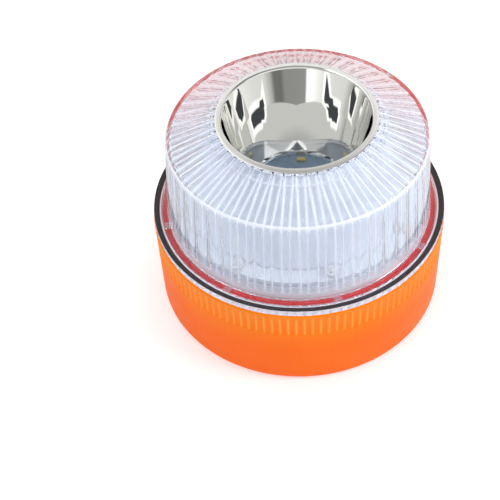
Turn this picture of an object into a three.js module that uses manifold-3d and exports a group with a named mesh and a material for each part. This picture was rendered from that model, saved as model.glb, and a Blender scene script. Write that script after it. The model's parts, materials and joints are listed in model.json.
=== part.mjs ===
// Magnetic LED hazard beacon, used as an electric road flare: a ribbed orange base that twists onto a
// clear fluted head. The head carries eight amber LEDs round a white cone and a chromed torch reflector;
// the base carries three AAA cells, four roof magnets, a side push button and a rubber foot.
// Millimetres, +Z up. The origin is the centre of the foot's underside and the button faces +Y.
import * as THREE from "three";
import { mergeVertices } from "three/addons/utils/BufferGeometryUtils.js";
import Module from "manifold-3d";

const wasm = await Module();
wasm.setup();

// ---- Driving dimensions ----
const GAP = 0.3; // clearance left between neighbouring pieces
const SHELL_SIDES = 48; // facets round the large shells
const INNER_SIDES = 36; // facets round the rings and discs inside
const PIN_SIDES = 12; // facets round screws, pins and posts

// Base shell
const BASE_R = 50;
const BASE_BOTTOM = 0.6; // the rubber foot stands this proud of the shell
const BASE_RIM = 34.4;
const BASE_WALL = 2.3;
const BASE_INSIDE = BASE_R - BASE_WALL;
const BASE_FLOOR = 4.3; // height of the inside floor
const BASE_EDGE = 2; // radius round the lower edge
const FOOT_R = 44;
const FOOT_THICK = 1.6;
const FOOT_RECESS = FOOT_THICK + GAP; // height of the recess's roof

// Bayonet between base and head
const BAYONET_COUNT = 4;
const BAYONET_TURN = 35; // degrees from locked to free
const LEDGE_TOP = 30.6;
const LEDGE_BOTTOM = 28.6;
const LEDGE_INNER = 45.4;
const LEDGE_SPAN = 30;
const LUG_SPAN = 28;
const STOP_SPAN = 2.6;

// Magnets
const MAGNET_COUNT = 4;
const MAGNET_R = 6;
const MAGNET_THICK = 4;
const MAGNET_BOTTOM = 2;
const MAGNET_CIRCLE = 36.5;

// Cells and their tray
const CELL_R = 5.25; // AAA cell
const CELL_LENGTH = 44;
const CELL_COUNT = 3;
const CELL_PITCH = 11.3;
const CELL_AXIS = 11.3;
const TRAY_HALF_X = 26.5;
const TRAY_HALF_Y = 17.9;
const TRAY_WALL = 1.5;
const TRAY_BOTTOM = BASE_FLOOR + GAP;
const TRAY_SCREW_X = 31.5;
const WIRE_R = 0.35; // contact springs

// Supply from base to head
const PIN_INNER_Y = -23;
const PIN_OUTER_Y = -29;
const PIN_R = 1.5;
const PIN_TOP = 25.6;
const LEAD_R = 0.7;

// Push button and its switch
const BUTTON_WIDTH = 16.2;
const BUTTON_HEIGHT = 8.2;
const BUTTON_Z = 14.5;
const BUTTON_BACK = 45.6;
const BOARD_Y = 39.1; // middle of the switch board
const BOARD_THICK = 1.6;
const SWITCH_FRONT = 43.4;
const PLUNGER_R = 1.7;
const PLUNGER_LENGTH = 3.1;

// Lens
const HEAD_RIM = 37.5; // top of the head's ribbed skirt
const SKIRT_R = 49.8;
const SKIRT_WALL = 0.6;
const DOME_FOOT_R = 45;
const DOME_EDGE_R = 42.7;
const DOME_EDGE = 68.2;
const LENS_WALL = 2;
const TOP = 75;
const TROUGH_BOTTOM = BASE_RIM + GAP;
const FLANGE_BOTTOM = TROUGH_BOTTOM + 1; // over the red ring, which shows through the clear flange
const FLANGE_TOP = HEAD_RIM - 0.4;
const GASKET_LAND = TROUGH_BOTTOM + 1.6; // the step that the edge gasket lies on
const GASKET_INNER = 47.4;
const TAB_COUNT = 8;
const TAB_PHASE = 15; // degrees from the front, -Y, towards +X

// Chassis and boards
const CHASSIS_R = BASE_INSIDE - 0.5;
const SLEEVE_OUTER = LEDGE_INNER - 0.5; // the sleeve that enters the base
const SLEEVE_INNER = SLEEVE_OUTER - 2.2;
const SLEEVE_BOTTOM = 25;
const HAT_R = 41.9; // the raised part that carries the board
const HAT_WALL = 2;
const COVER_BOTTOM = 26.9;
const COVER_TOP = 28.5;
const COVER_SCREWS = 3;
const COVER_SCREW_R = 36;
const PCB_BOTTOM = 40.8;
const PCB_THICK = 1.6;
const PCB_TOP = PCB_BOTTOM + PCB_THICK;
const PCB_FACE = PCB_TOP + GAP; // what stands on the board starts here
const HAT_TOP = PCB_BOTTOM - GAP; // what hangs under the board ends here

// Lights and torch bowl
const AMBER_LED_COUNT = 8;
const AMBER_LED_R = 38.7;
const TORCH_LED_COUNT = 3;
const TORCH_LED_R = 12.5;
const TORCH_LED_WIDTH = 3;
const TORCH_LED_DEPTH = 1.4;
const TORCH_LED_THICK = 0.7;
const TORCH_LED_PHASE = 84;
const MOUTH_R = 24.2; // the torch reflector's mouth
const BOWL_JOIN_R = 21.2; // where the bowl's upper parabola meets its lower one
const BOWL_JOIN = 61.3;
const BOWL_LOWER_RATE = 11.45; // square millimetres that the squared radius gains per millimetre of height
const BOWL_WALL = 0.9;

// ---- Materials ----
const plastic = (color, roughness) => new THREE.MeshStandardMaterial({ color, roughness, metalness: 0 });
const metal = (color, roughness) => new THREE.MeshStandardMaterial({ color, roughness, metalness: 1 });
const MATERIALS = {
  orange: plastic(0xff7328, 0.45),
  clear: new THREE.MeshStandardMaterial({ color: 0xe9ecf5, roughness: 0.08, transparent: true, opacity: 0.35 }),
  red: plastic(0xd8362c, 0.25),
  black: plastic(0x1d1b1d, 0.6),
  white: plastic(0xeceef2, 0.55),
  board: plastic(0xe4e7ea, 0.4),
  amber: plastic(0xf2b530, 0.3),
  phosphor: plastic(0xe8d36a, 0.35),
  chrome: metal(0xe6e6e2, 0.05),
  steel: metal(0xb9bcc0, 0.3),
  brass: metal(0xd2a54a, 0.3),
  cell: plastic(0x3b4a63, 0.35),
  redLead: plastic(0xb3261e, 0.5),
  blackLead: plastic(0x202022, 0.5),
};

// ---- Shape helpers ----
const radians = THREE.MathUtils.degToRad;

/** A solid for joining and cutting, from any closed three.js geometry. */
function solid(geometry) {
  const bare = geometry.clone();
  bare.deleteAttribute("normal");
  bare.deleteAttribute("uv");
  const merged = mergeVertices(bare, 1e-4);
  return new wasm.Manifold(
    new wasm.Mesh({
      numProp: 3,
      vertProperties: new Float32Array(merged.attributes.position.array),
      triVerts: new Uint32Array(merged.index.array),
    }),
  );
}

function geometryOf(body) {
  const mesh = body.getMesh();
  const geometry = new THREE.BufferGeometry();
  geometry.setAttribute("position", new THREE.BufferAttribute(mesh.vertProperties, 3));
  geometry.setIndex(new THREE.BufferAttribute(mesh.triVerts, 1));
  geometry.computeVertexNormals();
  return geometry;
}

/** Turns a closed outline of [radius, height] points, anticlockwise, about Z. */
function turned(outline, sides) {
  const points = [...outline, outline[0]].map(([r, z]) => new THREE.Vector2(r, z));
  return new THREE.LatheGeometry(points, sides).rotateX(Math.PI / 2);
}

/** Turns an outline that starts and ends on the axis. */
function turnedSolid(outline, sides) {
  const points = outline.map(([r, z]) => new THREE.Vector2(r, z));
  return new THREE.LatheGeometry(points, sides).rotateX(Math.PI / 2);
}

const ring = (inner, outer, bottom, top, sides) =>
  turned([[inner, bottom], [outer, bottom], [outer, top], [inner, top]], sides);

const disc = (radius, bottom, top, sides) =>
  turnedSolid([[0, bottom], [radius, bottom], [radius, top], [0, top]], sides);

const block = (width, depth, height, x, y, z) =>
  new THREE.BoxGeometry(width, depth, height).translate(x, y, z);

/** A ring segment centred on an angle, both in degrees anticlockwise from +X. */
function sector(inner, outer, bottom, top, centre, span) {
  const shape = new THREE.Shape();
  const from = radians(centre - span / 2);
  const to = radians(centre + span / 2);
  shape.absarc(0, 0, outer, from, to, false);
  shape.absarc(0, 0, inner, to, from, true);
  return new THREE.ExtrudeGeometry(shape, { depth: top - bottom, bevelEnabled: false, curveSegments: 5 })
    .translate(0, 0, bottom);
}

/** A pill-shaped bar lying along Y, from one y to another, centred on the button's axis. */
function pill(width, height, fromY, toY) {
  const r = height / 2;
  const reach = width / 2 - r;
  const shape = new THREE.Shape();
  shape.absarc(reach, 0, r, -Math.PI / 2, Math.PI / 2, false);
  shape.absarc(-reach, 0, r, Math.PI / 2, Math.PI * 1.5, false);
  return new THREE.ExtrudeGeometry(shape, { depth: toY - fromY, bevelEnabled: false, curveSegments: 6 })
    .rotateX(Math.PI / 2)
    .translate(0, toY, BUTTON_Z);
}

/** Places count copies round a circle; the angle is in degrees anticlockwise from +X. */
function round(count, radius, phase, place) {
  for (let i = 0; i < count; i += 1) {
    const angle = phase + (360 / count) * i;
    place(radius * Math.cos(radians(angle)), radius * Math.sin(radians(angle)), angle, i);
  }
}

/** A round bar along a smooth curve through the given [x, y, z] points. */
function bar(points, radius, steps) {
  const turns = [0, 60, 120, 180, 240, 300].map(radians);
  const corners = turns.map((a) => new THREE.Vector2(radius * Math.cos(a), radius * Math.sin(a)));
  const section = new THREE.Shape(corners);
  const path = new THREE.CatmullRomCurve3(points.map((p) => new THREE.Vector3(...p)));
  return new THREE.ExtrudeGeometry(section, { extrudePath: path, steps });
}

function add(group, name, geometry, material) {
  const mesh = new THREE.Mesh(geometry, material);
  mesh.name = name;
  group.add(mesh);
  return mesh;
}

// ---- Base ----

function baseShell() {
  const edge = [0, 30, 60, 90].map((a) => [
    BASE_R - BASE_EDGE + BASE_EDGE * Math.sin(radians(a)),
    BASE_BOTTOM + BASE_EDGE - BASE_EDGE * Math.cos(radians(a)),
  ]);
  return turnedSolid(
    [
      [0, FOOT_RECESS],
      [FOOT_R + GAP, FOOT_RECESS],
      [FOOT_R + GAP, BASE_BOTTOM],
      ...edge,
      [BASE_R, BASE_RIM],
      [BASE_INSIDE, BASE_RIM],
      [BASE_INSIDE, BASE_FLOOR],
      [0, BASE_FLOOR],
    ],
    SHELL_SIDES,
  );
}

/** The ledges that hold the head down, each with a stop for the locked and the open end of the turn. */
function bayonetLedges() {
  const parts = [];
  const wallSide = BASE_INSIDE + 1;
  const stopBottom = LEDGE_BOTTOM - 3.4;
  const stopAside = LUG_SPAN / 2 + 2;
  round(BAYONET_COUNT, 0, 0, (x, y, angle) => {
    parts.push(sector(LEDGE_INNER, wallSide, LEDGE_BOTTOM, LEDGE_TOP, angle, LEDGE_SPAN));
    for (const stop of [angle - stopAside, angle + BAYONET_TURN + stopAside]) {
      parts.push(sector(LEDGE_INNER, wallSide, stopBottom, LEDGE_TOP, stop, STOP_SPAN));
    }
  });
  return parts;
}

function withMagnetPockets(shell) {
  const pocketTop = MAGNET_BOTTOM + MAGNET_THICK + GAP + 0.1;
  let body = shell;
  round(MAGNET_COUNT, MAGNET_CIRCLE, 45, (x, y) => {
    const boss = disc(MAGNET_R + 1.5, BASE_FLOOR - 1, pocketTop + 1.2, 20).translate(x, y, 0);
    const pocket = disc(MAGNET_R + GAP, 0, pocketTop, 20).translate(x, y, 0);
    body = body.add(solid(boss)).subtract(solid(pocket));
  });
  return body;
}

/** Adds the tray's screw bosses and the two slotted posts that hold the switch board. */
function withMountings(shell) {
  let body = shell;
  for (const side of [-1, 1]) {
    const boss = disc(3.4, BASE_FLOOR - 1, 7.4, PIN_SIDES).translate(side * TRAY_SCREW_X, 0, 0);
    const bore = disc(1.3, BASE_FLOOR + 0.4, 9, PIN_SIDES).translate(side * TRAY_SCREW_X, 0, 0);
    body = body.add(solid(boss)).subtract(solid(bore));
    const post = block(3, 5, 13, side * 10.2, BOARD_Y, BASE_FLOOR + 6);
    const slot = block(2.4, BOARD_THICK + 2 * GAP, 20, side * 8.6, BOARD_Y, BASE_FLOOR + 10.3);
    body = body.add(solid(post)).subtract(solid(slot));
  }
  return body;
}

function baseHousing() {
  let body = solid(baseShell());
  for (const ledge of bayonetLedges()) body = body.add(solid(ledge));
  body = withMountings(withMagnetPockets(body));
  return body.subtract(solid(pill(BUTTON_WIDTH + 0.8, BUTTON_HEIGHT + 0.8, 44, 52)));
}

function footPad() {
  const groove = (r) => [[r, 0], [r + 0.5, 0.6], [r + 1.5, 0.6], [r + 2, 0]];
  const edge = [[FOOT_R - 0.8, 0], [FOOT_R, 0.8], [FOOT_R, FOOT_THICK]];
  return turnedSolid([[0, 0], ...groove(12), ...groove(24), ...edge, [0, FOOT_THICK]], SHELL_SIDES);
}

const cellY = (i) => (i - (CELL_COUNT - 1) / 2) * CELL_PITCH;

/** The box of the tray: an open bay over a trough for each cell. */
function trayBox() {
  const height = CELL_AXIS + 4.7 - TRAY_BOTTOM;
  const innerX = 2 * (TRAY_HALF_X - TRAY_WALL);
  let body = solid(block(2 * TRAY_HALF_X, 2 * TRAY_HALF_Y, height, 0, 0, TRAY_BOTTOM + height / 2));
  body = body.subtract(solid(block(innerX, 2 * TRAY_HALF_Y - 2.4, height, 0, 0, CELL_AXIS + height / 2)));
  for (let i = 0; i < CELL_COUNT; i += 1) {
    const trough = new THREE.CylinderGeometry(CELL_R + GAP, CELL_R + GAP, innerX, 18);
    body = body.subtract(solid(trough.rotateZ(Math.PI / 2).translate(0, cellY(i), CELL_AXIS)));
  }
  return body;
}

/** The tray with its two screw ears and the tower that guides the spring pins. */
function batteryTray() {
  let body = trayBox();
  for (const side of [-1, 1]) {
    const ear = block(9, 8, 2, side * (TRAY_SCREW_X - 0.8), 0, 8.7);
    const hole = disc(1.8, 0, 12, PIN_SIDES).translate(side * TRAY_SCREW_X, 0, 0);
    body = body.add(solid(ear)).subtract(solid(hole));
  }
  const towerTop = 20;
  const towerY = (PIN_INNER_Y + PIN_OUTER_Y) / 2 + 1.3;
  const towerHeight = towerTop - TRAY_BOTTOM;
  body = body.add(solid(block(8, 14.4, towerHeight, 0, towerY, TRAY_BOTTOM + towerHeight / 2)));
  for (const y of [PIN_INNER_Y, PIN_OUTER_Y]) {
    body = body.subtract(solid(disc(PIN_R + GAP, 9, 30, PIN_SIDES).translate(0, y, 0)));
  }
  return body;
}

/** A dry cell lying along X: can, shoulder and positive nub at +X. */
function cellShape() {
  const half = CELL_LENGTH / 2;
  const nub = [[2, half - 0.6], [1.9, half + 0.7], [0, half + 0.7]];
  return turnedSolid([[0, -half], [CELL_R, -half], [CELL_R, half - 1], ...nub], 18).rotateY(Math.PI / 2);
}

/** A conical coil of wire along X, its wide end at x = 0 on the end wall. */
function springShape() {
  const turns = 3;
  const steps = 27;
  const points = [];
  for (let i = 0; i <= steps; i += 1) {
    const t = i / steps;
    const r = 3.4 - 1.5 * t;
    const a = 2 * Math.PI * turns * t;
    points.push([WIRE_R + 1.9 * t, r * Math.cos(a), r * Math.sin(a)]);
  }
  return bar(points, WIRE_R, steps);
}

const leadShape = (points) => bar(points, LEAD_R, 10);

/** A screw pointing down, with the underside of its head at height 0. */
function screwShape(headR, headHeight, shankR, length) {
  const shank = [[0, -length], [shankR * 0.4, -length], [shankR, -length + 1], [shankR, 0]];
  return turnedSolid([...shank, [headR, 0], [headR * 0.85, headHeight], [0, headHeight]], PIN_SIDES);
}

function springPinShape(y) {
  const barrel = [[0, 9.4], [PIN_R, 9.4], [PIN_R, 21.4]];
  const tip = [[0.9, 21.6], [0.9, PIN_TOP - 0.5], [0.45, PIN_TOP], [0, PIN_TOP]];
  return turnedSolid([...barrel, ...tip], PIN_SIDES).translate(0, y, 0);
}

function addMagnets(base) {
  round(MAGNET_COUNT, MAGNET_CIRCLE, 45, (x, y, angle, i) => {
    const magnet = add(base, `roof_magnet_${i + 1}`, disc(MAGNET_R, 0, MAGNET_THICK, 20), MATERIALS.steel);
    magnet.position.set(x, y, MAGNET_BOTTOM);
  });
}

/** The cells with their springs and plates; neighbouring cells point opposite ways. */
function addCells(base) {
  const endWall = TRAY_HALF_X - TRAY_WALL;
  for (let i = 0; i < CELL_COUNT; i += 1) {
    const bay = new THREE.Group();
    bay.position.set(0, cellY(i), CELL_AXIS);
    bay.rotation.z = i % 2 === 0 ? 0 : Math.PI;
    add(bay, `aaa_cell_${i + 1}`, cellShape(), MATERIALS.cell).position.x = 0.6;
    add(bay, `cell_spring_${i + 1}`, springShape(), MATERIALS.steel).position.x = -endWall + GAP;
    const plate = new THREE.BoxGeometry(0.5, 7, 7);
    add(bay, `cell_plate_${i + 1}`, plate, MATERIALS.steel).position.x = endWall - GAP - 0.25;
    base.add(bay);
  }
}

function addTray(base) {
  add(base, "battery_tray", geometryOf(batteryTray()), MATERIALS.black);
  const screw = screwShape(2.7, 1.5, 1, 5);
  add(base, "tray_screw_left", screw, MATERIALS.steel).position.set(-TRAY_SCREW_X, 0, 10);
  add(base, "tray_screw_right", screw, MATERIALS.steel).position.set(TRAY_SCREW_X, 0, 10);
  add(base, "supply_pin_positive", springPinShape(PIN_INNER_Y), MATERIALS.brass);
  add(base, "supply_pin_negative", springPinShape(PIN_OUTER_Y), MATERIALS.brass);
}

function addSwitch(base) {
  add(base, "switch_board", block(18, BOARD_THICK, 12, 0, BOARD_Y, BUTTON_Z), MATERIALS.board);
  add(base, "switch_body", geometryOf(switchBody()), MATERIALS.black);
  const start = TRAY_HALF_Y + GAP;
  const end = BOARD_Y - BOARD_THICK / 2 - GAP;
  const lead = (x) => leadShape([[x, start, 10], [x * 1.4, 24, 9], [x * 1.4, 31, 13], [x, end, 16]]);
  add(base, "switch_lead_red", lead(3), MATERIALS.redLead);
  add(base, "switch_lead_black", lead(-3), MATERIALS.blackLead);
}

function makeBase() {
  const base = new THREE.Group();
  add(base, "base_housing", geometryOf(baseHousing()), MATERIALS.orange);
  add(base, "foot_pad", footPad(), MATERIALS.black);
  addMagnets(base);
  addTray(base);
  addCells(base);
  addSwitch(base);
  return base;
}

// ---- Push button ----
function switchBody() {
  const back = BOARD_Y + BOARD_THICK / 2 + GAP;
  const depth = SWITCH_FRONT - back;
  const hole = new THREE.CylinderGeometry(PLUNGER_R + GAP, PLUNGER_R + GAP, 4, PIN_SIDES);
  hole.translate(0, SWITCH_FRONT - 0.5, BUTTON_Z);
  return solid(block(6, depth, 6, 0, back + depth / 2, BUTTON_Z)).subtract(solid(hole));
}

/** The cap follows the shell's curve; the wider flange behind it keeps it in. */
function powerButton() {
  const cap = solid(pill(BUTTON_WIDTH, BUTTON_HEIGHT, BUTTON_BACK, 52));
  const flange = solid(pill(BUTTON_WIDTH + 2.6, BUTTON_HEIGHT + 2.6, BUTTON_BACK, BUTTON_BACK + 0.8));
  return cap.intersect(solid(disc(BASE_R - 0.1, 0, 30, 96))).add(flange);
}

function makeButton() {
  const button = new THREE.Group();
  add(button, "power_button", geometryOf(powerButton()), MATERIALS.black);
  const shape = new THREE.CylinderGeometry(PLUNGER_R, PLUNGER_R, PLUNGER_LENGTH, PIN_SIDES);
  const plunger = add(button, "switch_plunger", shape, MATERIALS.white);
  plunger.position.set(0, BUTTON_BACK - GAP - PLUNGER_LENGTH / 2, BUTTON_Z);
  return button;
}

// ---- Head ----

/** The lens: dome wall, conical top, and at its foot a clear flange with a raised skirt, as one outline. */
function lensOutline() {
  const inner = SKIRT_R - SKIRT_WALL;
  return [
    [DOME_FOOT_R - LENS_WALL, FLANGE_BOTTOM],
    [GASKET_INNER - 0.2, FLANGE_BOTTOM],
    [GASKET_INNER - 0.2, TROUGH_BOTTOM],
    [SKIRT_R, TROUGH_BOTTOM],
    [SKIRT_R, HEAD_RIM],
    [inner, HEAD_RIM],
    [inner, GASKET_LAND],
    [GASKET_INNER - 0.2, GASKET_LAND],
    [GASKET_INNER - 0.2, FLANGE_TOP],
    [DOME_FOOT_R, FLANGE_TOP],
    [DOME_EDGE_R, DOME_EDGE - 0.8],
    [DOME_EDGE_R - 0.8, DOME_EDGE],
    [MOUTH_R + 2.4, TOP - 0.9],
    [MOUTH_R + 1.3, TOP - 0.9],
    [MOUTH_R + 1.3, TOP - 0.9 - LENS_WALL],
    [DOME_EDGE_R - 1.6 - LENS_WALL / 2, DOME_EDGE - LENS_WALL],
    [DOME_EDGE_R - LENS_WALL, DOME_EDGE - LENS_WALL - 1],
  ];
}

function lens() {
  let body = solid(turned(lensOutline(), SHELL_SIDES));
  round(TAB_COUNT, 0, TAB_PHASE - 90, (x, y, angle) => {
    const tab = new THREE.BoxGeometry(2.4, 3.4, 0.6).translate(DOME_FOOT_R + 0.9, 0, FLANGE_TOP);
    body = body.add(solid(tab.rotateZ(radians(angle))));
  });
  return body;
}

/** The red ring lies under the clear flange and the dome's foot. */
function redRing() {
  const inner = HAT_R + GAP;
  const outer = GASKET_INNER - 0.5;
  const top = FLANGE_BOTTOM - GAP;
  const outside = [[inner, TROUGH_BOTTOM], [outer, TROUGH_BOTTOM], [outer, top - 0.2]];
  return turned([...outside, [outer - 0.2, top], [inner + 0.2, top], [inner, top - 0.2]], SHELL_SIDES);
}

/** The gasket is low beside the flange and rises to the skirt. */
function edgeGasket() {
  const bottom = GASKET_LAND + GAP;
  const outer = 48.9;
  const top = HEAD_RIM - 0.1;
  const outline = [[GASKET_INNER, bottom], [outer, bottom], [outer, top], [GASKET_INNER, bottom + 0.2]];
  return turned(outline, SHELL_SIDES);
}

/** Section of the chassis: a sleeve that enters the base, a plate, and a raised hat that carries the board. */
function chassisOutline() {
  const plateBottom = BASE_RIM - 1.4;
  const ledgeBottom = HAT_TOP - 1.5;
  return [
    [SLEEVE_INNER, SLEEVE_BOTTOM],
    [SLEEVE_OUTER, SLEEVE_BOTTOM],
    [SLEEVE_OUTER, plateBottom],
    [CHASSIS_R, plateBottom],
    [CHASSIS_R, BASE_RIM],
    [HAT_R, BASE_RIM],
    [HAT_R, HAT_TOP],
    [33.5, HAT_TOP],
    [33.5, ledgeBottom],
    [HAT_R - HAT_WALL, ledgeBottom],
    [HAT_R - HAT_WALL, BASE_RIM - 1],
    [SLEEVE_INNER, BASE_RIM - 2.5],
  ];
}

function chassis() {
  let body = solid(turned(chassisOutline(), SHELL_SIDES));
  const lugBottom = SLEEVE_BOTTOM + 0.5;
  const lugTop = LEDGE_BOTTOM - 0.5;
  round(BAYONET_COUNT, 0, 0, (x, y, angle) => {
    body = body.add(solid(sector(SLEEVE_OUTER - 1, BASE_INSIDE - 0.5, lugBottom, lugTop, angle, LUG_SPAN)));
  });
  round(COVER_SCREWS, COVER_SCREW_R, 90, (x, y) => {
    const post = disc(2.7, COVER_TOP + GAP, HAT_TOP - 1, PIN_SIDES).translate(x, y, 0);
    const bore = disc(1.3, 0, COVER_TOP + 6, PIN_SIDES).translate(x, y, 0);
    body = body.add(solid(post)).subtract(solid(bore));
  });
  return body;
}

function headCover() {
  let body = solid(disc(SLEEVE_INNER - GAP, COVER_BOTTOM, COVER_TOP, INNER_SIDES));
  round(COVER_SCREWS, COVER_SCREW_R, 90, (x, y) => {
    body = body.subtract(solid(disc(1.4, 20, 30, PIN_SIDES).translate(x, y, 0)));
  });
  return body;
}

/** Radius of the torch bowl's shining side: one parabola above the join, a wider one below it. */
function bowlRadius(z) {
  const upperRate = (MOUTH_R ** 2 - BOWL_JOIN_R ** 2) / (TOP - BOWL_JOIN);
  const rate = z > BOWL_JOIN ? upperRate : BOWL_LOWER_RATE;
  return Math.sqrt(BOWL_JOIN_R ** 2 + rate * (z - BOWL_JOIN));
}

/** Heights at which the bowl's outline has a corner, from the bottom hole to the mouth. */
const BOWL_HEIGHTS = [PCB_FACE, 46, 50, 55, BOWL_JOIN, 68, TOP];

function torchReflector() {
  const shine = BOWL_HEIGHTS.map((z) => [bowlRadius(z), z]);
  const outside = shine.slice(0, -1).map(([r, z]) => [r + BOWL_WALL, z]);
  const rim = [[MOUTH_R + BOWL_WALL, TOP - 0.6], [MOUTH_R + 2, TOP - 0.6], [MOUTH_R + 2, TOP]];
  return turned([...outside, ...rim, ...shine.reverse()], INNER_SIDES);
}

/** The white cone that throws the amber LEDs' light outwards. */
const lightCone = () => turned([[34.8, PCB_FACE], [36.2, PCB_FACE], [28.8, 70.6], [27.6, 70.6]], INNER_SIDES);

const amberLed = () => turnedSolid([[0, 0], [2.4, 0], [2.4, 0.9], [1.6, 0.9], [1.1, 1.7], [0, 1.9]], 8);

function addLens(head) {
  add(head, "lens_dome", geometryOf(lens()), MATERIALS.clear);
  add(head, "red_marker_ring", redRing(), MATERIALS.red);
  add(head, "edge_gasket", edgeGasket(), MATERIALS.black);
}

function addChassis(head) {
  add(head, "chassis", geometryOf(chassis()), MATERIALS.white);
  const sealTop = BASE_RIM - 1.4 - GAP;
  const seal = ring(SLEEVE_OUTER + GAP, CHASSIS_R, sealTop - 1.6, sealTop, SHELL_SIDES);
  add(head, "body_seal", seal, MATERIALS.black);
}

function addLights(head) {
  add(head, "main_board", disc(HAT_R - 0.3, PCB_BOTTOM, PCB_TOP, INNER_SIDES), MATERIALS.board);
  round(AMBER_LED_COUNT, AMBER_LED_R, TAB_PHASE - 90, (x, y, angle, i) => {
    const led = add(head, `amber_led_${i + 1}`, amberLed(), MATERIALS.amber);
    led.position.set(x, y, PCB_FACE);
    led.rotation.z = radians(angle);
  });
  round(TORCH_LED_COUNT, TORCH_LED_R, TORCH_LED_PHASE, (x, y, angle, i) => {
    const shape = new THREE.BoxGeometry(TORCH_LED_WIDTH, TORCH_LED_DEPTH, TORCH_LED_THICK);
    const led = add(head, `torch_led_${i + 1}`, shape, MATERIALS.phosphor);
    led.position.set(x, y, PCB_FACE + TORCH_LED_THICK / 2);
  });
}

function addOptics(head) {
  const windowBottom = PCB_FACE + TORCH_LED_THICK + GAP;
  const window = disc(bowlRadius(PCB_FACE) - GAP, windowBottom, windowBottom + 0.8, INNER_SIDES);
  add(head, "torch_window", window, MATERIALS.clear);
  add(head, "torch_reflector", torchReflector(), MATERIALS.chrome);
  add(head, "light_cone", lightCone(), MATERIALS.white);
}

/** What hangs under the main board. */
function addDriver(head) {
  const chip = add(head, "driver_chip", new THREE.BoxGeometry(5, 4, 1.5), MATERIALS.black);
  chip.position.set(12, -10, HAT_TOP - 0.75);
  const coil = add(head, "driver_coil", disc(3.5, 0, 3.4, PIN_SIDES), MATERIALS.black);
  coil.position.set(-14, 8, HAT_TOP - 3.4);
  const capacitor = add(head, "storage_capacitor", disc(4, 0, 7, 16), MATERIALS.cell);
  capacitor.position.set(6, 16, HAT_TOP - 7);
  const lead = (x, y) =>
    leadShape([[x, y, COVER_TOP + GAP], [x + 2, y, 32], [x + 2, y + 4, 36], [x, y + 6, HAT_TOP]]);
  add(head, "ring_lead_red", lead(5, -23), MATERIALS.redLead);
  add(head, "ring_lead_black", lead(-7, -28), MATERIALS.blackLead);
}

/** The cover under the head, with the two contact rings that the spring pins touch. */
function addCover(head) {
  add(head, "head_cover", geometryOf(headCover()), MATERIALS.black);
  const ringTop = COVER_BOTTOM - GAP;
  add(head, "contact_ring_positive", ring(21.5, 24.5, ringTop - 0.6, ringTop, INNER_SIDES), MATERIALS.brass);
  add(head, "contact_ring_negative", ring(27.5, 30.5, ringTop - 0.6, ringTop, INNER_SIDES), MATERIALS.brass);
  round(COVER_SCREWS, COVER_SCREW_R, 90, (x, y, angle, i) => {
    const screw = add(head, `cover_screw_${i + 1}`, screwShape(2.2, 1.2, 1, 6), MATERIALS.steel);
    screw.rotation.x = Math.PI;
    screw.position.set(x, y, COVER_BOTTOM - GAP);
  });
}

function makeHead() {
  const head = new THREE.Group();
  addLens(head);
  addChassis(head);
  addLights(head);
  addOptics(head);
  addDriver(head);
  addCover(head);
  return head;
}

const beacon = new THREE.Group();
beacon.add(makeBase(), makeButton(), makeHead());

export default beacon;
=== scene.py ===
"""Looks of an LED hazard beacon: ribbed orange base, clear fluted dome, chromed torch bowl.

Lengths in the helpers are millimetres in the CAD frame; mesh points are stored in metres.
"""
import json
import math

import bmesh
import bpy
from mathutils import Matrix, Quaternion, Vector


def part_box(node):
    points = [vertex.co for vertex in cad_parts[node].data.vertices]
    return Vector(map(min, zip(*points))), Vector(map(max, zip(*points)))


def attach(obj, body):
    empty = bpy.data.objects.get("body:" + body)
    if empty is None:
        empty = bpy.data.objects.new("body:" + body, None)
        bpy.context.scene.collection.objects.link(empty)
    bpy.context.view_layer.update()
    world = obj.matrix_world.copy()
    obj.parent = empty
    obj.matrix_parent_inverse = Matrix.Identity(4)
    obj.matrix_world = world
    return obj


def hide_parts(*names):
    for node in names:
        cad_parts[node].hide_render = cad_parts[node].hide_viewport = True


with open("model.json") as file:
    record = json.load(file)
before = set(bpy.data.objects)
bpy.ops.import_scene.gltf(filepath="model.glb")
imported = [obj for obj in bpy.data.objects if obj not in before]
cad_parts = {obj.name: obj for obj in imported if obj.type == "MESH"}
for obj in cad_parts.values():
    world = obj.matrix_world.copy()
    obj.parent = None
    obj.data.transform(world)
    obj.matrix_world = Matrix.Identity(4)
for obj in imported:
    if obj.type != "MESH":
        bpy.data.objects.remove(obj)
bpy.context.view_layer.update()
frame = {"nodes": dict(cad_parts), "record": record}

MM = 0.001
NODES = frame["nodes"]


def top(node):
    """Height of a CAD node's top, in millimetres."""
    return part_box(node)[1][2] / MM


def bottom(node):
    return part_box(node)[0][2] / MM


def reach(node):
    """Radius of a round CAD node, in millimetres."""
    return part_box(node)[1][0] / MM


# ---- Sizes, in millimetres ----
BASE_R = reach("base_housing")
BASE_TOP = top("base_housing")
BASE_BOTTOM = bottom("base_housing")
BASE_INSIDE = BASE_R - 2.3
BASE_FLOOR = 4.3
FOOT_R = reach("foot_pad")
FOOT_TOP = top("foot_pad")
RIB_COUNT = 120
RIB_LOW = 25.2
RIB_HIGH = 33.5
RIB_DEPTH = 0.42

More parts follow.
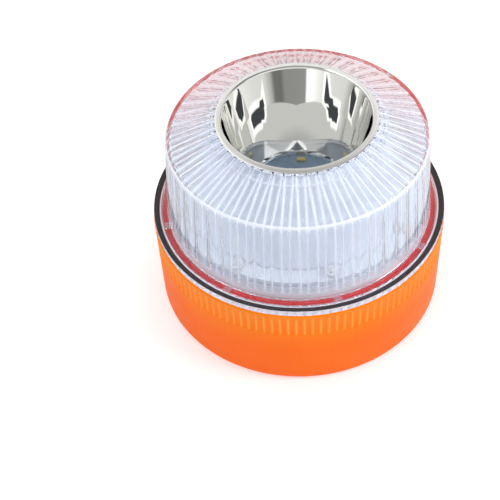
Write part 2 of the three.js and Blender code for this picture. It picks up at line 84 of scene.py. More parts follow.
SKIRT_R = reach("lens_dome")
HEAD_BOTTOM = bottom("lens_dome")
HEAD_RIM = HEAD_BOTTOM + 2.8
DOME_FOOT_R = 45
DOME_EDGE_R = 42.7
DOME_EDGE = 68.2
LENS_WALL = 2
FLANGE_BOTTOM = HEAD_BOTTOM + 1
FLANGE_TOP = HEAD_RIM - 0.4
FLANGE_R = 47.2
SKIRT_START = FLANGE_R + 0.02  # a hair outside the flange
SKIRT_FACE = SKIRT_R - 0.22  # the skirt's outside between its ticks
SKIRT_WALL = 0.6
SKIRT_BRIM = HEAD_RIM - 0.4
RED_INNER = 42.2
RED_OUTER = 46.9
GASKET_INNER = 47.8
GASKET_OUTER = 48.9
GASKET_LIP_R = 49.65
GASKET_LAND = HEAD_BOTTOM + 1.6
LENS_RIB_COUNT = 48
LENS_RIB_HALF = 1.2
LENS_RIB_SIDE = 0.7
LENS_RIB_DEPTH = 0.4
LENS_RIB_PHASE = 2.0
TICK_COUNT = 108
TAB_COUNT = 8
TAB_PHASE = 15
TAB_INNER = 45.1
TAB_OUTER = 47.0
TAB_HALF = 1.3
BOWL_TOP = top("torch_reflector")
BOWL_BOTTOM = bottom("torch_reflector")
BOWL_JOIN_R = 21.2
BOWL_JOIN = 61.3
BOWL_LOWER_RATE = 11.45
MOUTH_R = 24.2
SATIN_START = MOUTH_R + 0.15  # the mirror finish gives way to the satin rim
# Radius of the painted shade in the middle of the board.
PAINTED_SHADE_R = 15.8
LENS_MOUTH_R = MOUTH_R + 1.3
LENS_MOUTH_TOP = BOWL_TOP - 0.9
BUTTON_Z = 14.5
BUTTON_WIDTH = 16.2
BUTTON_HEIGHT = 8.2

# ---- How milky and glowing the clear plastic is, from 0 to 1: painted highlights, and painted light on the shaded foot ----
RIB_EDGE_MILK_GLOW_TOP = 0.9
RIB_EDGE_MILK_GLOW_WALL = 0.65
RIB_MILK_GLOW = 0.06
CORNER_MILK_GLOW = (0.3, 0.6, 0.6, 0.6, 0.65, 0.65, 0.65, 0.1)  # from the wall up over the corner
FOOT_MILK_GLOW = 0.35
TAB_MILK_GLOW = 0.05
SKIRT_MILK_GLOW = 0.4
TICK_MILK_GLOW_DROP = 0.35


# ---- Materials ----
class Nodes:
    """A short way to write the nodes of a material, or of the world."""

    def __init__(self, name, world=False):
        self.material = (bpy.data.worlds if world else bpy.data.materials).new(name)
        self.material.use_nodes = True
        self.tree = self.material.node_tree
        self.tree.nodes.clear()
        self.output = self.tree.nodes.new("ShaderNodeOutput" + ("World" if world else "Material"))

    def add(self, kind, inputs=None, **settings):
        node = self.tree.nodes.new("ShaderNode" + kind)
        for key, value in settings.items():
            setattr(node, key, value)
        for key, value in (inputs or {}).items():
            self.feed(node, key, value)
        return node

    def feed(self, node, key, value):
        socket = node.inputs[key]
        if isinstance(value, bpy.types.NodeSocket):
            self.tree.links.new(value, socket)
        elif isinstance(value, tuple) and len(value) == 3 and socket.type == "RGBA":
            socket.default_value = (*value, 1)
        else:
            socket.default_value = value

    def place(self):
        """The point in the object's own frame, which is the CAD frame, in metres."""
        return self.add("TexCoord").outputs["Object"]

    def radius(self):
        """Distance from the beacon's axis, in metres."""
        place = self.add("SeparateXYZ", {0: self.place()}).outputs
        squares = [self.math("MULTIPLY", place[axis], place[axis]) for axis in ("X", "Y")]
        return self.math("SQRT", self.math("ADD", *squares))

    def noise(self, scale, detail=3, stretch=None):
        vector = self.place()
        if stretch:
            vector = self.add("Mapping", {"Vector": vector, "Scale": stretch}).outputs[0]
        return self.add("TexNoise", {"Vector": vector, "Scale": scale, "Detail": detail}).outputs["Fac"]

    def ramp(self, value, low, high, to_low=0.0, to_high=1.0):
        made = self.add(
            "MapRange",
            {"Value": value, "From Min": low, "From Max": high, "To Min": to_low, "To Max": to_high},
        )
        return made.outputs["Result"]

    def mix(self, factor, one, two):
        made = self.add("Mix", data_type="RGBA")
        self.feed(made, 0, factor)
        self.feed(made, 6, one)
        self.feed(made, 7, two)
        return made.outputs[2]

    def math(self, operation, *values):
        made = self.add("Math", operation=operation)
        for i, value in enumerate(values):
            self.feed(made, i, value)
        return made.outputs[0]

    def bump(self, height, distance, strength=1.0):
        """distance is in millimetres."""
        made = self.add("Bump", {"Height": height, "Distance": distance * MM, "Strength": strength})
        return made.outputs["Normal"]

    def finish(self, shader):
        self.tree.links.new(shader, self.output.inputs["Surface"])
        return self.material


def srgb(red, green, blue):
    """A colour from 0 to 255, as the shader wants it."""
    return tuple(
        v / 12.92 if v <= 0.04045 else ((v + 0.055) / 1.055) ** 2.4
        for v in (red / 255, green / 255, blue / 255)
    )


def shade(colour, factor):
    return tuple(min(1.0, v * factor) for v in colour)


def moulded(name, colour, roughness, grain=0.02, grain_scale=2600):
    """Moulded plastic: a fine spark-eroded grain, with slight change in colour and shine."""
    n = Nodes(name)
    cloud = n.noise(60, 4)
    fine = n.noise(grain_scale, 2)
    base = n.mix(n.ramp(cloud, 0.35, 0.65), shade(colour, 0.94), shade(colour, 1.04))
    shine = n.ramp(n.noise(220, 3), 0.3, 0.7, roughness - 0.05, roughness + 0.05)
    inputs = {"Base Color": base, "Roughness": shine, "Normal": n.bump(fine, grain)}
    return n.finish(n.add("BsdfPrincipled", inputs).outputs[0])


def clear_plastic(name, front, back):
    """Clear plastic that lets lamps reach what is inside.

    Its tint runs from front to back and turns pink toward the back: painted red light from the red ring,
    seen through the dome and carried up its wall. It is milky and glows where the mesh's attribute says so:
    painted highlights, and painted light on the shaded foot.
    """
    n = Nodes(name)
    place = n.add("SeparateXYZ", {0: n.place()}).outputs
    # Painted red light: the tint turns pink toward the back.
    painted_red_light_toward_back = n.ramp(place["Y"], -0.005, 0.03)
    glass = n.add(
        "BsdfPrincipled",
        {
            "Base Color": n.mix(painted_red_light_toward_back, front, back),
            "Roughness": n.ramp(n.noise(300, 3), 0.3, 0.7, 0.012, 0.032),
            "Transmission Weight": 1.0,
            "IOR": 1.5,
            "Normal": n.bump(n.noise(45, 2), 0.05),
        },
    ).outputs[0]
    # Painted red light: the milky glow turns pink toward the back.
    pale_with_painted_pink_back = n.mix(n.ramp(place["Y"], 0.0, 0.02), srgb(244, 246, 255), srgb(238, 214, 218))
    # Milky white that glows though it is no lamp: painted highlight.
    glowing_milk = n.add(
        "BsdfPrincipled",
        {"Base Color": pale_with_painted_pink_back, "Roughness": 0.25, "Emission Color": pale_with_painted_pink_back, "Emission Strength": 0.25},
    ).outputs[0]
    milk_glow = n.add("Attribute", attribute_name="milk_glow").outputs["Fac"]
    solid = n.add("MixShader", {0: milk_glow, 1: glass, 2: glowing_milk}).outputs[0]
    through = n.add("BsdfTransparent", {"Color": (0.96, 0.96, 0.97)}).outputs[0]
    shadow = n.add("LightPath").outputs["Is Shadow Ray"]
    return n.finish(n.add("MixShader", {0: shadow, 1: solid, 2: through}).outputs[0])


def orange_material(name):
    """Orange plastic with a painted glow, painted lighter toward the top as top light, and a painted
    highlight on the ribs' crests, as the mesh's crest attribute says.
    """
    n = Nodes(name)
    crest = n.add("Attribute", attribute_name="crest").outputs["Fac"]
    cloud = n.ramp(n.noise(60, 4), 0.35, 0.65)
    height = n.add("SeparateXYZ", {0: n.place()}).outputs["Z"]
    body = n.mix(cloud, srgb(255, 106, 2), srgb(255, 112, 6))
    # Painted top light: the orange turns lighter toward the top.
    body_with_painted_top_light = n.mix(n.ramp(height, 0.016, 0.034), body, srgb(255, 134, 0))
    # Painted highlight: the rib crests turn light orange.
    base = n.mix(n.math("MULTIPLY", crest, 0.8), body_with_painted_top_light, srgb(255, 166, 62))
    inputs = {
        "Base Color": base,
        "Roughness": n.ramp(n.noise(220, 3), 0.3, 0.7, 0.36, 0.46),
        "Specular IOR Level": 0.25,
        # Painted glow: the orange plastic emits its own colour, standing in for light scattered through it.
        "Emission Color": base,
        "Emission Strength": 0.17,
        "Normal": n.bump(n.noise(2600, 2), 0.02),
    }
    return n.finish(n.add("BsdfPrincipled", inputs).outputs[0])


def board_material(name):
    """White solder mask, blue-grey in the middle under the torch: painted shade on the white board."""
    n = Nodes(name)
    cloud = n.ramp(n.noise(400, 3), 0.3, 0.7)
    # Painted shade: blue-grey for the white board in the shade of the bowl.
    painted_shade_disc = n.mix(cloud, srgb(130, 158, 180), srgb(144, 170, 190))
    mask = n.mix(cloud, srgb(224, 228, 233), srgb(232, 236, 240))
    base = n.mix(n.ramp(n.radius(), PAINTED_SHADE_R * MM, (PAINTED_SHADE_R + 0.2) * MM), painted_shade_disc, mask)
    inputs = {"Base Color": base, "Roughness": n.ramp(cloud, 0, 1, 0.3, 0.4)}
    return n.finish(n.add("BsdfPrincipled", inputs).outputs[0])


def chrome_material(name):
    """Mirror plating in the bowl, satin on the rim, with faint swirls."""
    n = Nodes(name)
    rim = n.ramp(n.radius(), SATIN_START * MM, (SATIN_START + 0.15) * MM)
    swirl = n.noise(70, 4)
    base = n.mix(rim, (0.91, 0.91, 0.895), (0.97, 0.96, 0.92))
    inputs = {
        "Base Color": base,
        "Metallic": 1.0,
        "Roughness": n.math("ADD", n.ramp(swirl, 0.3, 0.7, 0.012, 0.028), n.math("MULTIPLY", rim, 0.33)),
        "Normal": n.bump(swirl, 0.002),
    }
    return n.finish(n.add("BsdfPrincipled", inputs).outputs[0])


def metal(name, colour, roughness):
    """Plated or bare metal with fine scratches."""
    n = Nodes(name)
    lines = n.noise(500, 4)
    base = n.mix(n.ramp(n.noise(90, 3), 0.3, 0.7), shade(colour, 0.93), colour)
    inputs = {
        "Base Color": base,
        "Metallic": 1.0,
        "Roughness": n.ramp(lines, 0.3, 0.7, roughness * 0.7, roughness * 1.4),
        "Normal": n.bump(lines, 0.01),
    }
    return n.finish(n.add("BsdfPrincipled", inputs).outputs[0])


MATERIALS = {
    "orange_plastic": orange_material("orange_plastic"),
    # The second tint, pink, is painted red light toward the back of the dome.
    "clear_lens": clear_plastic("clear_lens", (0.82, 0.865, 0.92), (0.95, 0.91, 0.915)),
    "red_plastic": moulded("red_plastic", srgb(228, 18, 12), 0.22, grain=0.005),
    "black_rubber": moulded("black_rubber", srgb(44, 40, 42), 0.5, grain=0.03, grain_scale=1800),
    "black_plastic": moulded("black_plastic", srgb(38, 38, 41), 0.45),
    "white_plastic": moulded("white_plastic", srgb(236, 240, 247), 0.4, grain=0.01),
    "circuit_board": board_material("circuit_board"),
    "amber_led": moulded("amber_led", srgb(226, 227, 226), 0.25, grain=0.003),
    "torch_led": moulded("torch_led", srgb(228, 206, 110), 0.35, grain=0.01),
    "chrome": chrome_material("chrome"),
    "bright_steel": metal("bright_steel", (0.6, 0.61, 0.62), 0.28),
    "gilt_brass": metal("gilt_brass", (0.83, 0.6, 0.27), 0.22),
    "cell_can": moulded("cell_can", srgb(58, 74, 102), 0.3, grain=0.005),
    "lead_insulation_red": moulded("lead_insulation_red", srgb(180, 40, 32), 0.4),
    "lead_insulation_black": moulded("lead_insulation_black", srgb(32, 32, 34), 0.4),
}


def dress_nodes():
    """Each CAD node keeps its shape and takes its slot's material."""
    slot_of = {s["node"]: s["material_slot"] for s in frame["record"]["subparts"]}
    for name, node in NODES.items():
        if not node.material_slots:
            node.data.materials.append(None)
        for place in node.material_slots:
            place.material = MATERIALS[slot_of[name]]


# ---- Mesh helpers ----
def make(name, points, faces, slot_name, body, replaced, smooth=40):
    """A piece from points in millimetres; edges sharper than smooth degrees stay crisp."""
    mesh = bpy.data.meshes.new(name)
    mesh.from_pydata([(x * MM, y * MM, z * MM) for x, y, z in points], [], faces)
    mesh.validate()
    bm = bmesh.new()
    bm.from_mesh(mesh)
    bmesh.ops.recalc_face_normals(bm, faces=bm.faces)
    for face in bm.faces:
        face.smooth = True
    for edge in bm.edges:
        if len(edge.link_faces) == 2 and edge.calc_face_angle() > math.radians(smooth):
            edge.smooth = False
    bm.to_mesh(mesh)
    bm.free()
    mesh.materials.append(MATERIALS[slot_name])
    piece = bpy.data.objects.new(name, mesh)
    bpy.context.scene.collection.objects.link(piece)
    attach(piece, body)
    if replaced:
        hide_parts(*replaced)
    return piece


def turned(profile, columns, ridge=None):
    """Points and faces of a closed outline turned about Z.

    Each profile entry is (radius, height) or (radius, height, rib), where rib is how far, in
    millimetres, the point moves outwards at a crest. ridge gives the crest, 0 to 1, at a column's
    turn from 0 to 1.
    """
    points = []
    for i in range(columns):
        angle = 2 * math.pi * i / columns
        crest = ridge(i / columns) if ridge else 0
        for entry in profile:
            r = entry[0] + (entry[2] * crest if len(entry) > 2 else 0)
            points.append((r * math.cos(angle), r * math.sin(angle), entry[1]))
    rows = len(profile)
    faces = []
    for i in range(columns):
        j = (i + 1) % columns
        for k in range(rows):
            m = (k + 1) % rows
            if profile[k][0] == 0 and profile[m][0] == 0:
                continue
            corners = (i * rows + k, j * rows + k, j * rows + m, i * rows + m)
            faces.append(corners)
    return points, faces


def rounded(corners, radius, steps=4):
    """An outline with its corners eased; each corner is (r, z) or (r, z, own radius)."""
    out = []
    count = len(corners)
    for i, corner in enumerate(corners):
        here = Vector(corner[:2])
        before = Vector(corners[i - 1][:2])
        after = Vector(corners[(i + 1) % count][:2])
        size = corner[2] if len(corner) > 2 else radius
        size = min(size, (before - here).length * 0.45, (after - here).length * 0.45)
        if size <= 0 or here.x == 0:
            out.append((here.x, here.y))
            continue
        start = here + (before - here).normalized() * size
        end = here + (after - here).normalized() * size
        for k in range(steps + 1):
            t = k / steps
            point = start * (1 - t) ** 2 + here * 2 * t * (1 - t) + end * t ** 2
            out.append((point.x, point.y))
    return out


def wave(count, width, phase=0.0):
    """Crests round a turn: a raised cosine that takes up width of each pitch."""

    def ridge(turn):
        away = abs(((turn * count + phase) % 1) - 0.5) * 2
        return 0.5 + 0.5 * math.cos(math.pi * away / width) if away < width else 0.0

    return ridge


def pill_points(width, height, y, steps=10):
    r = height / 2
    half = width / 2 - r
    points = []
    for side in (1, -1):
        for k in range(steps + 1):
            angle = math.pi * (k / steps - 0.5)
            points.append((side * (half + r * math.cos(angle)), y, BUTTON_Z + side * r * math.sin(angle)))
    return points


def loft(loops):
    """Points and faces that join loops of the same length, capped at both ends."""
    size = len(loops[0])
    points = [p for loop in loops for p in loop]
    faces = []
    for k in range(len(loops) - 1):
        for i in range(size):
            j = (i + 1) % size
            faces.append((k * size + i, k * size + j, (k + 1) * size + j, (k + 1) * size + i))
    faces.append(tuple(range(size - 1, -1, -1)))
    faces.append(tuple(range((len(loops) - 1) * size, len(loops) * size)))
    return points, faces


def cut(piece, cutter):
    """Takes cutter out of piece, for good."""
    modifier = piece.modifiers.new("cut", "BOOLEAN")
    modifier.operation = "DIFFERENCE"
    modifier.solver = "EXACT"
    modifier.object = cutter
    bpy.context.view_layer.update()
    graph = bpy.context.evaluated_depsgraph_get()
    mesh = bpy.data.meshes.new_from_object(piece.evaluated_get(graph))
    piece.modifiers.clear()
    piece.data = mesh
    bpy.data.objects.remove(cutter)


def scratch_object(name, points, faces):
    """A mesh used only as a cutter, in metres."""
    mesh = bpy.data.meshes.new(name)
    mesh.from_pydata([(x * MM, y * MM, z * MM) for x, y, z in points], [], faces)
    bm = bmesh.new()
    bm.from_mesh(mesh)
    bmesh.ops.recalc_face_normals(bm, faces=bm.faces)
    bm.to_mesh(mesh)
    bm.free()
    made = bpy.data.objects.new(name, mesh)
    bpy.context.scene.collection.objects.link(made)
    return made


# ---- Base ----
def base_shell():
    """Orange shell: a smooth lower band, fine grip ribs above it, and a plain rim."""
    edge = [
        (BASE_R - 2 + 2 * math.sin(math.radians(a)), BASE_BOTTOM + 2 - 2 * math.cos(math.radians(a)))
        for a in range(0, 91, 15)
    ]
    groove = BASE_R - RIB_DEPTH
    profile = [
        (FOOT_R + 0.3, FOOT_TOP + 0.3),
        (FOOT_R + 0.3, BASE_BOTTOM + 0.3),
        (FOOT_R + 0.6, BASE_BOTTOM),
        *edge,
        (BASE_R, RIB_LOW - 0.3),
        (BASE_R - 0.06, RIB_LOW - 0.1, 0.05),
        (groove + 0.1, RIB_LOW + 0.25, RIB_DEPTH - 0.1),
        (groove, RIB_LOW + 0.6, RIB_DEPTH),
        (groove, (RIB_LOW + RIB_HIGH) / 2, RIB_DEPTH),
        (groove, RIB_HIGH - 0.5, RIB_DEPTH),
        (groove + 0.1, RIB_HIGH - 0.2, RIB_DEPTH - 0.1),
        (BASE_R - 0.06, RIB_HIGH, 0.05),
        (BASE_R, RIB_HIGH + 0.12),
        (BASE_R, BASE_TOP - 0.25),
        (BASE_R - 0.25, BASE_TOP),
        (BASE_INSIDE + 0.2, BASE_TOP),
        (BASE_INSIDE, BASE_TOP - 0.2),
        (BASE_INSIDE, BASE_FLOOR),
        (0, BASE_FLOOR),
        (0, FOOT_TOP + 0.3),
    ]
    ridge = wave(RIB_COUNT, 0.55)
    columns = RIB_COUNT * 8
    points, faces = turned(profile, columns, ridge)
    piece = make("orange_shell", points, faces, "orange_plastic", "base", ["base_housing"], smooth=30)
    # The crest attribute places a painted highlight on the rib crests.
    ribbed = [RIB_LOW < entry[1] < RIB_HIGH and len(entry) > 2 for entry in profile]
    crests = [ridge(i / columns) * on for i in range(columns) for on in ribbed]
    piece.data.attributes.new("crest", "FLOAT", "POINT").data.foreach_set("value", crests)
    hole = [pill_points(BUTTON_WIDTH + 0.8, BUTTON_HEIGHT + 0.8, y) for y in (44, 52)]
    cut(piece, scratch_object("button_hole", *loft(hole)))
    return piece


def foot():
    """Rubber foot with two grooves and an eased edge."""
    corners = [(0, FOOT_TOP), (0, 0)]
    for r in (12, 24, 34):
        corners += [(r, 0, 0.1), (r + 0.5, 0.6, 0.1), (r + 1.5, 0.6, 0.1), (r + 2, 0, 0.1)]
    corners += [(FOOT_R - 0.8, 0, 0.3), (FOOT_R, 0.8, 0.3), (FOOT_R, FOOT_TOP, 0.1)]
    points, faces = turned(rounded(corners, 0.1, 2), 192)
    return make("rubber_foot", points, faces, "black_rubber", "base", ["foot_pad"], smooth=50)


def button_cap():
    """Rubber button: a flange inside, a cap that follows the shell, a dished middle."""
    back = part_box("power_button")[0][1] / MM
    proud = BASE_R - 0.15
    loops = []
    steps = (
        (-1.3, back),
        (-1.3, back + 0.8),
        (0, back + 0.8),
        (0, proud - 0.7),
        (0.25, proud - 0.25),
        (0.7, proud),
        (1.6, proud),
        (2.1, proud - 0.35),
        (3.9, proud - 0.45),
    )
    for inset, y in steps:
        loop = pill_points(BUTTON_WIDTH - 2 * inset, BUTTON_HEIGHT - 2 * inset, y)
        if y > back + 1:
            loop = [(x, math.sqrt(y * y - x * x), z) for x, y, z in loop]
        loops.append(loop)
    points, faces = loft(loops)
    return make("rubber_button", points, faces, "black_rubber", "button", ["power_button"], smooth=50)


# ---- Head ----
def dome_wall(z):
    """Outside radius of the dome at a height."""
    slope = (DOME_FOOT_R - DOME_EDGE_R) / (DOME_EDGE - 0.8 - FLANGE_TOP)
    return DOME_FOOT_R - slope * (z - FLANGE_TOP)


def lens_outside():
    """Outside of the dome from under the flange to the mouth, as (r, z, how milky and glowing it is)."""
    rows = [(DOME_FOOT_R - LENS_WALL, FLANGE_BOTTOM, 0), (FLANGE_R - 0.1, FLANGE_BOTTOM, 0)]
    rows += [(FLANGE_R, FLANGE_BOTTOM + 0.1, 0), (FLANGE_R, FLANGE_TOP - 0.1, 0)]
    rows.append((FLANGE_R - 0.1, FLANGE_TOP, 0))
    rows += [(DOME_FOOT_R + 0.25, FLANGE_TOP, 0), (DOME_FOOT_R + 0.05, FLANGE_TOP + 0.2, 0)]
    # Painted light on the dome's shaded foot.
    rows += [(dome_wall(z), z, FOOT_MILK_GLOW) for z in (FLANGE_TOP + 0.6, 39.5)]
    rows += [(dome_wall(z), z, 0) for z in (43, 50, 58, 63)]
    rows.append((dome_wall(66.6), 66.6, 0.05))
    # Painted highlight over the corner.
    for k, milk_glow in enumerate(CORNER_MILK_GLOW):
        a = math.radians(10 * k)
        rows.append((DOME_EDGE_R - 0.9 + 0.9 * math.cos(a), DOME_EDGE - 0.9 + 0.9 * math.sin(a), milk_glow))
    low = rows[-1]
    high = (MOUTH_R + 2.4, LENS_MOUTH_TOP)
    for t in (0.03, 0.1, 0.3, 0.5, 0.7, 0.9, 0.97):
        rows.append((low[0] + (high[0] - low[0]) * t, low[1] + (high[1] - low[1]) * t, 0))
    return rows + [(*high, 0), (LENS_MOUTH_R, LENS_MOUTH_TOP, 0)]


def lens_inside():
    """Ribbed inside of the dome from the mouth to the foot, as (point, push, depth).

    push is the direction in which a rib stands out, and depth is the share of its height that it has there.
    """
    cone_top = Vector((LENS_MOUTH_R, LENS_MOUTH_TOP - LENS_WALL))
    cone_foot = Vector((39.9, DOME_EDGE - LENS_WALL - 0.3))
    along = (cone_foot - cone_top).normalized()
    down = Vector((along.y, -along.x))
    inward = Vector((-1, 0))
    rows = [(cone_top.lerp(cone_foot, t), down, 1 if t else 0.4) for t in (0, 0.02, 0.2, 0.4, 0.6, 0.8, 1)]
    foot = FLANGE_TOP + 1
    bend = Vector((dome_wall(66) - LENS_WALL, 66.1))
    wall = Vector((dome_wall(64.5) - LENS_WALL, 64.5))
    for t in (0.25, 0.5, 0.75, 1):
        point = cone_foot * (1 - t) ** 2 + bend * 2 * t * (1 - t) + wall * t ** 2
        rows.append((point, down.lerp(inward, t).normalized(), 1))
    for z in (60, 54, 48, 43, 40, FLANGE_TOP + 1.4):
        rows.append((Vector((dome_wall(z) - LENS_WALL, z)), inward, 1))
    rows.append((Vector((dome_wall(foot) - LENS_WALL, foot)), inward, 0))
    return rows


def lens():
    """The dome. Straight-sided ribs stand on its inside; the outside is smooth."""
    half, side = LENS_RIB_HALF, LENS_RIB_SIDE
    # Columns across a rib; the last column of each pitch lies midway between two ribs.
    aside = (-half - side, -half, -half + side, 0, half - side, half, half + side)
    crests = (0, 0.5, 1, 1, 1, 0.5, 0, 0)
    pitch = 2 * math.pi / LENS_RIB_COUNT
    rows = [(Vector((r, z)), None, 0, milk_glow) for r, z, milk_glow in lens_outside()]
    rows += [(*row, 0) for row in lens_inside()]
    points = []
    milk_glows = []
    for i in range(LENS_RIB_COUNT):
        middle = math.radians(LENS_RIB_PHASE - 90) + pitch * i
        for k, crest in enumerate(crests):
            for point, push, depth, milk_glow in rows:
                angle = middle + (aside[k] / point.x if k < len(aside) else pitch / 2)
                if push:
                    point = point + push * LENS_RIB_DEPTH * crest * depth
                    # The rib edges glow milky: a painted highlight.
                    edge = RIB_EDGE_MILK_GLOW_TOP if push.y else RIB_EDGE_MILK_GLOW_WALL
                    milk_glow = (edge if crest == 0.5 else RIB_MILK_GLOW) * depth
                points.append((point.x * math.cos(angle), point.x * math.sin(angle), point.y))
                milk_glows.append(milk_glow)
    faces = []
    columns = LENS_RIB_COUNT * len(crests)
    count = len(rows)
    for i in range(columns):
        j = (i + 1) % columns
        for k in range(count):
            m = (k + 1) % count
            faces.append((i * count + k, j * count + k, j * count + m, i * count + m))
    for k in range(TAB_COUNT):
        add_tab(points, faces, math.radians(TAB_PHASE - 90 + 360 / TAB_COUNT * k))
    # The tabs glow faintly: a painted highlight.
    milk_glows += [TAB_MILK_GLOW] * (len(points) - len(milk_glows))
    milk_glows += add_skirt(points, faces)
    piece = make("fluted_dome", points, faces, "clear_lens", "head", ["lens_dome"], smooth=35)
    piece.data.attributes.new("milk_glow", "FLOAT", "POINT").data.foreach_set("value", milk_glows)
    return piece


def add_skirt(points, faces):
    """The ticked skirt, which holds the gasket and hangs over the base. Returns how milky and glowing its
    points are: painted light, less on the ticks.
    """
    inner = SKIRT_R - SKIRT_WALL
    tick = SKIRT_R - SKIRT_FACE
    profile = [
        (SKIRT_START, HEAD_BOTTOM),
        (SKIRT_R - 0.35, HEAD_BOTTOM),
        (SKIRT_FACE, HEAD_BOTTOM + 0.13),
        (SKIRT_FACE, HEAD_BOTTOM + 0.45),
        (SKIRT_FACE, HEAD_BOTTOM + 0.55, tick),
        (SKIRT_FACE, SKIRT_BRIM - 0.6, tick),
        (SKIRT_FACE, SKIRT_BRIM - 0.5),
        (SKIRT_FACE, SKIRT_BRIM - 0.13),
        (SKIRT_R - 0.35, SKIRT_BRIM),
        (inner, SKIRT_BRIM),
        (inner, GASKET_LAND),
        (SKIRT_START, GASKET_LAND),
    ]
    columns = TICK_COUNT * 8
    ridge = wave(TICK_COUNT, 0.7)
    made, sides = turned(profile, columns, ridge)
    start = len(points)
    points += made
    faces += [tuple(v + start for v in face) for face in sides]
    # Milky glow on the skirt, less on the ticks: painted light.
    return [
        SKIRT_MILK_GLOW - (TICK_MILK_GLOW_DROP * ridge(i / columns) if len(entry) > 2 else 0)
        for i in range(columns)
        for entry in profile
    ]


def add_tab(points, faces, angle):
    """A small clear tongue from the dome's foot over the red ring."""
    start = len(points)
    low, high = FLANGE_TOP + 0.01, HEAD_RIM - 0.1
    inner, outer, half = TAB_INNER, TAB_OUTER, TAB_HALF
    corners = ((inner, -half), (outer, -half), (outer, half), (inner, half))
    for z, inset in ((low, 0), (high - 0.1, 0), (high, 0.1)):
        for x, y in corners:
            x -= inset if x == outer else 0
            y -= inset if y > 0 else -inset
            points.append(
                (x * math.cos(angle) - y * math.sin(angle), x * math.sin(angle) + y * math.cos(angle), z)
            )
    for k in (0, 4):
        for i in range(4):
            j = (i + 1) % 4
            faces.append((start + k + i, start + k + j, start + k + 4 + j, start + k + 4 + i))
    faces.append((start + 3, start + 2, start + 1, start))
    faces.append((start + 8, start + 9, start + 10, start + 11))


def red_ring():
    """Red ring under the clear flange: two beads with a groove between them."""
    low = bottom("red_marker_ring")
    high = top("red_marker_ring")
    profile = [
        (RED_INNER, low),
        (RED_OUTER, low),
        (RED_OUTER, high - 0.15),
        (46.75, high),
        (46.3, high),
        (46.1, high - 0.3),
        (45.7, high - 0.3),
        (45.5, high),
        (44.2, high),
        (44.0, high - 0.2),
        (RED_INNER, high - 0.2),
    ]
    points, faces = turned(profile, 240)
    return make("red_ring", points, faces, "red_plastic", "head", ["red_marker_ring"])


def gasket():
    """Black ring that slopes down towards the dome, with a lip that laps over the skirt."""
    low = bottom("edge_gasket")
    lip = HEAD_RIM - 0.37
    corners = [
        (GASKET_INNER, low),
        (GASKET_OUTER, low),
        (GASKET_OUTER, lip),
        (GASKET_LIP_R, lip, 0.05),
        (GASKET_LIP_R, HEAD_RIM, 0.2),
        (GASKET_INNER, low + 0.15, 0.2),
    ]
    points, faces = turned(rounded(corners, 0.05, 5), 240)
    return make("black_gasket", points, faces, "black_rubber", "head", ["edge_gasket"], smooth=60)


def bowl_radius(z):
    """Radius of the shining side: one parabola above the join, a wider one below it."""
    upper_rate = (MOUTH_R ** 2 - BOWL_JOIN_R ** 2) / (BOWL_TOP - BOWL_JOIN)
    rate = upper_rate if z > BOWL_JOIN else BOWL_LOWER_RATE
    return math.sqrt(BOWL_JOIN_R ** 2 + rate * (z - BOWL_JOIN))


def bowl_heights(steps):
    return [BOWL_BOTTOM + (BOWL_TOP - BOWL_BOTTOM) * k / steps for k in range(steps + 1)]


def reflector():
    """Chromed bowl with a narrow rolled rim."""
    shine = [(bowl_radius(z), z) for z in bowl_heights(56)]
    outer = [(r + 0.4, z) for r, z in shine[:-1:4]]
    shine = shine[:-1] + [(MOUTH_R + 0.02, BOWL_TOP - 0.2), (MOUTH_R + 0.25, BOWL_TOP)]
    rim = [
        (MOUTH_R + 0.95, BOWL_TOP - 0.62),
        (MOUTH_R + 1.95, BOWL_TOP - 0.62),
        (MOUTH_R + 2, BOWL_TOP - 0.45),
        (MOUTH_R + 1.8, BOWL_TOP - 0.2),
        (MOUTH_R + 1.1, BOWL_TOP - 0.02),
    ]
    points, faces = turned(outer + rim + shine[::-1], 288)
    return make("chrome_bowl", points, faces, "chrome", "head", ["torch_reflector"], smooth=40)


def reflector_back():
    """White skin on the outside of the bowl, with a collar that closes the gap up to the light cone."""
    heights = [z for z in bowl_heights(10) if z < 68]
    inner = [(bowl_radius(z) + 0.45, z) for z in (*heights, 72.5)]
    outer = [(bowl_radius(z) + 0.9, z) for z in heights]
    collar = [(25.3, 69.6), (27.4, 69.9), (27.4, 70.3), (25.6, 71.2), (25.3, 72.5)]
    points, faces = turned(outer + collar + inner[::-1], 144)
    return make("bowl_backing", points, faces, "white_plastic", "head", [], smooth=40)


# ---- Studio ----
def camera():
    """The camera looks down at the beacon from the front and aims a little off its centre."""
    scene = bpy.context.scene
    hub = Vector((0, 0, HEAD_RIM * MM))
    elevation = math.radians(45.9)
    distance = 0.3612
    eye = hub + distance * Vector((0, -math.cos(elevation), math.sin(elevation)))
    data = bpy.data.cameras.new("camera")
    data.sensor_width = 36
    data.lens = 75.46
    data.clip_start = 0.01
    facing = (hub - eye).to_track_quat("-Z", "Y")
    tilt = Quaternion((0, 0, 1), math.radians(-1.127))
    off_centre = Vector((0.0458, 0.0507, -1)).normalized()
    aside = Vector((0, 0, -1)).rotation_difference(off_centre).inverted()
    made = bpy.data.objects.new("camera", data)
    made.matrix_world = Matrix.Translation(eye) @ (facing @ tilt @ aside).to_matrix().to_4x4()
    scene.collection.objects.link(made)
    scene.camera = made


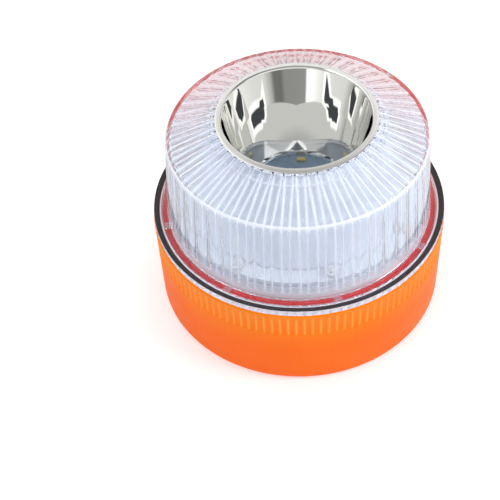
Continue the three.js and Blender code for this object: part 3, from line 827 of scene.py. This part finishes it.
def floor():
    """Pale paper; the lift, stronger far away, keeps it near white for the camera only."""
    mesh = bpy.data.meshes.new("floor")
    size = 3.0
    corners = [(-size, -size, 0), (size, -size, 0), (size, size, 0), (-size, size, 0)]
    mesh.from_pydata(corners, [], [(0, 1, 2, 3)])
    n = Nodes("floor_paper")
    base = n.mix(n.noise(900, 2), (0.85, 0.855, 0.86), (0.87, 0.875, 0.88))
    far = n.ramp(n.radius(), 0.3, 1.2, 0.4, 1.0)
    lift = n.math("MULTIPLY", n.add("LightPath").outputs["Is Camera Ray"], far)
    paper = n.add(
        "BsdfPrincipled",
        {
            "Base Color": base,
            "Roughness": 0.9,
            "Specular IOR Level": 0.1,
            "Emission Color": (1, 1, 1),
            "Emission Strength": lift,
        },
    )
    mesh.materials.append(n.finish(paper.outputs[0]))
    made = bpy.data.objects.new("floor", mesh)
    made.location.z = -0.0002
    bpy.context.scene.collection.objects.link(made)


def softbox(name, place, size, power, colour=(1, 1, 1)):
    """A square soft light that faces the beacon."""
    data = bpy.data.lights.new(name, "AREA")
    data.shape = "RECTANGLE"
    data.size, data.size_y = size
    data.energy = power
    data.color = colour
    made = bpy.data.objects.new(name, data)
    place = Vector(place)
    made.location = place
    made.rotation_euler = (Vector((0, 0, 0.04)) - place).to_track_quat("-Z", "Y").to_euler()
    made.visible_glossy = False
    bpy.context.scene.collection.objects.link(made)


def grey_ramp(n, value, stops):
    """A ramp of greys brighter or darker than 1; each stop is (place, grey)."""
    made = n.add("ValToRGB", {"Fac": value})
    ramp = made.color_ramp
    while len(ramp.elements) < len(stops):
        ramp.elements.new(0.5)
    for element, (place, grey) in zip(ramp.elements, stops):
        element.position = place
        element.color = (grey / 2, grey / 2, grey / 2, 1)
    return n.math("MULTIPLY", made.outputs[0], 2.0)


def room():
    """The room that the chrome mirrors: cards all round, a plain wall above them, one dark gap."""
    n = Nodes("room", world=True)
    direction = n.add("SeparateXYZ", {0: n.add("TexCoord").outputs["Generated"]}).outputs
    rise = n.math("DEGREES", n.math("ARCSINE", direction["Z"]))
    turn = n.math("DEGREES", n.math("ARCTAN2", direction["X"], direction["Y"]))
    walls = grey_ramp(n, n.ramp(turn, -180, 180), WALLS)
    ceiling = grey_ramp(n, n.ramp(rise, 0, 90), CEILING)
    above = n.ramp(n.math("SUBTRACT", rise, n.math("MULTIPLY", n.math("ABSOLUTE", turn), 0.05)), 38.0, 38.4)
    mirrored = n.mix(above, walls, ceiling)
    across = n.math("ABSOLUTE", n.math("ADD", turn, 12))
    bow = n.math("MULTIPLY", n.math("ABSOLUTE", turn), 0.1)
    over = n.math("ABSOLUTE", n.math("SUBTRACT", n.math("ADD", rise, bow), 42))
    halo = n.math("MULTIPLY", n.ramp(across, 51, 48), n.ramp(over, 5, 4))
    gap = n.math("MULTIPLY", n.ramp(across, 41, 39), n.ramp(over, 3, 2.4))
    mirrored = n.mix(gap, n.mix(halo, mirrored, (1.5, 1.5, 1.5)), (0.07, 0.075, 0.085))
    path = n.add("LightPath").outputs
    plain = n.mix(path["Is Transmission Ray"], (0.52, 0.52, 0.53), (0.9, 0.91, 0.94))
    seen = n.mix(path["Is Glossy Ray"], plain, mirrored)
    seen = n.mix(path["Is Camera Ray"], seen, (1, 1, 1))
    bpy.context.scene.world = n.finish(n.add("Background", {"Color": seen}).outputs[0])


# (place round the turn, grey) from the front, through the left, the back and the right
WALLS = (
    (0.0, 0.35),
    (0.11, 0.37),
    (0.135, 1.5),
    (0.21, 1.35),
    (0.3, 1.1),
    (0.46, 0.95),
    (0.62, 0.9),
    (0.7, 0.55),
    (0.74, 0.22),
    (0.82, 0.2),
    (0.87, 0.34),
    (1.0, 0.35),
)
CEILING = ((0.0, 0.74), (0.58, 0.72), (0.64, 0.5), (0.75, 0.3), (1.0, 0.5))


def studio():
    room()
    softbox("key", (-0.5, -0.5, 0.9), (0.6, 0.6), 2.1)
    softbox("side", (0.8, -0.2, 0.6), (0.4, 0.6), 3.5)
    softbox("top", (0.0, 0.3, 1.0), (0.7, 0.5), 2.2)
    scene = bpy.context.scene
    scene.view_settings.view_transform = "Standard"
    scene.cycles.glossy_bounces = 8
    scene.cycles.transmission_bounces = 16
    scene.cycles.transparent_max_bounces = 16
    scene.cycles.max_bounces = 20


dress_nodes()
base_shell()
foot()
button_cap()
lens()
red_ring()
gasket()
reflector()
reflector_back()
camera()
floor()
studio()
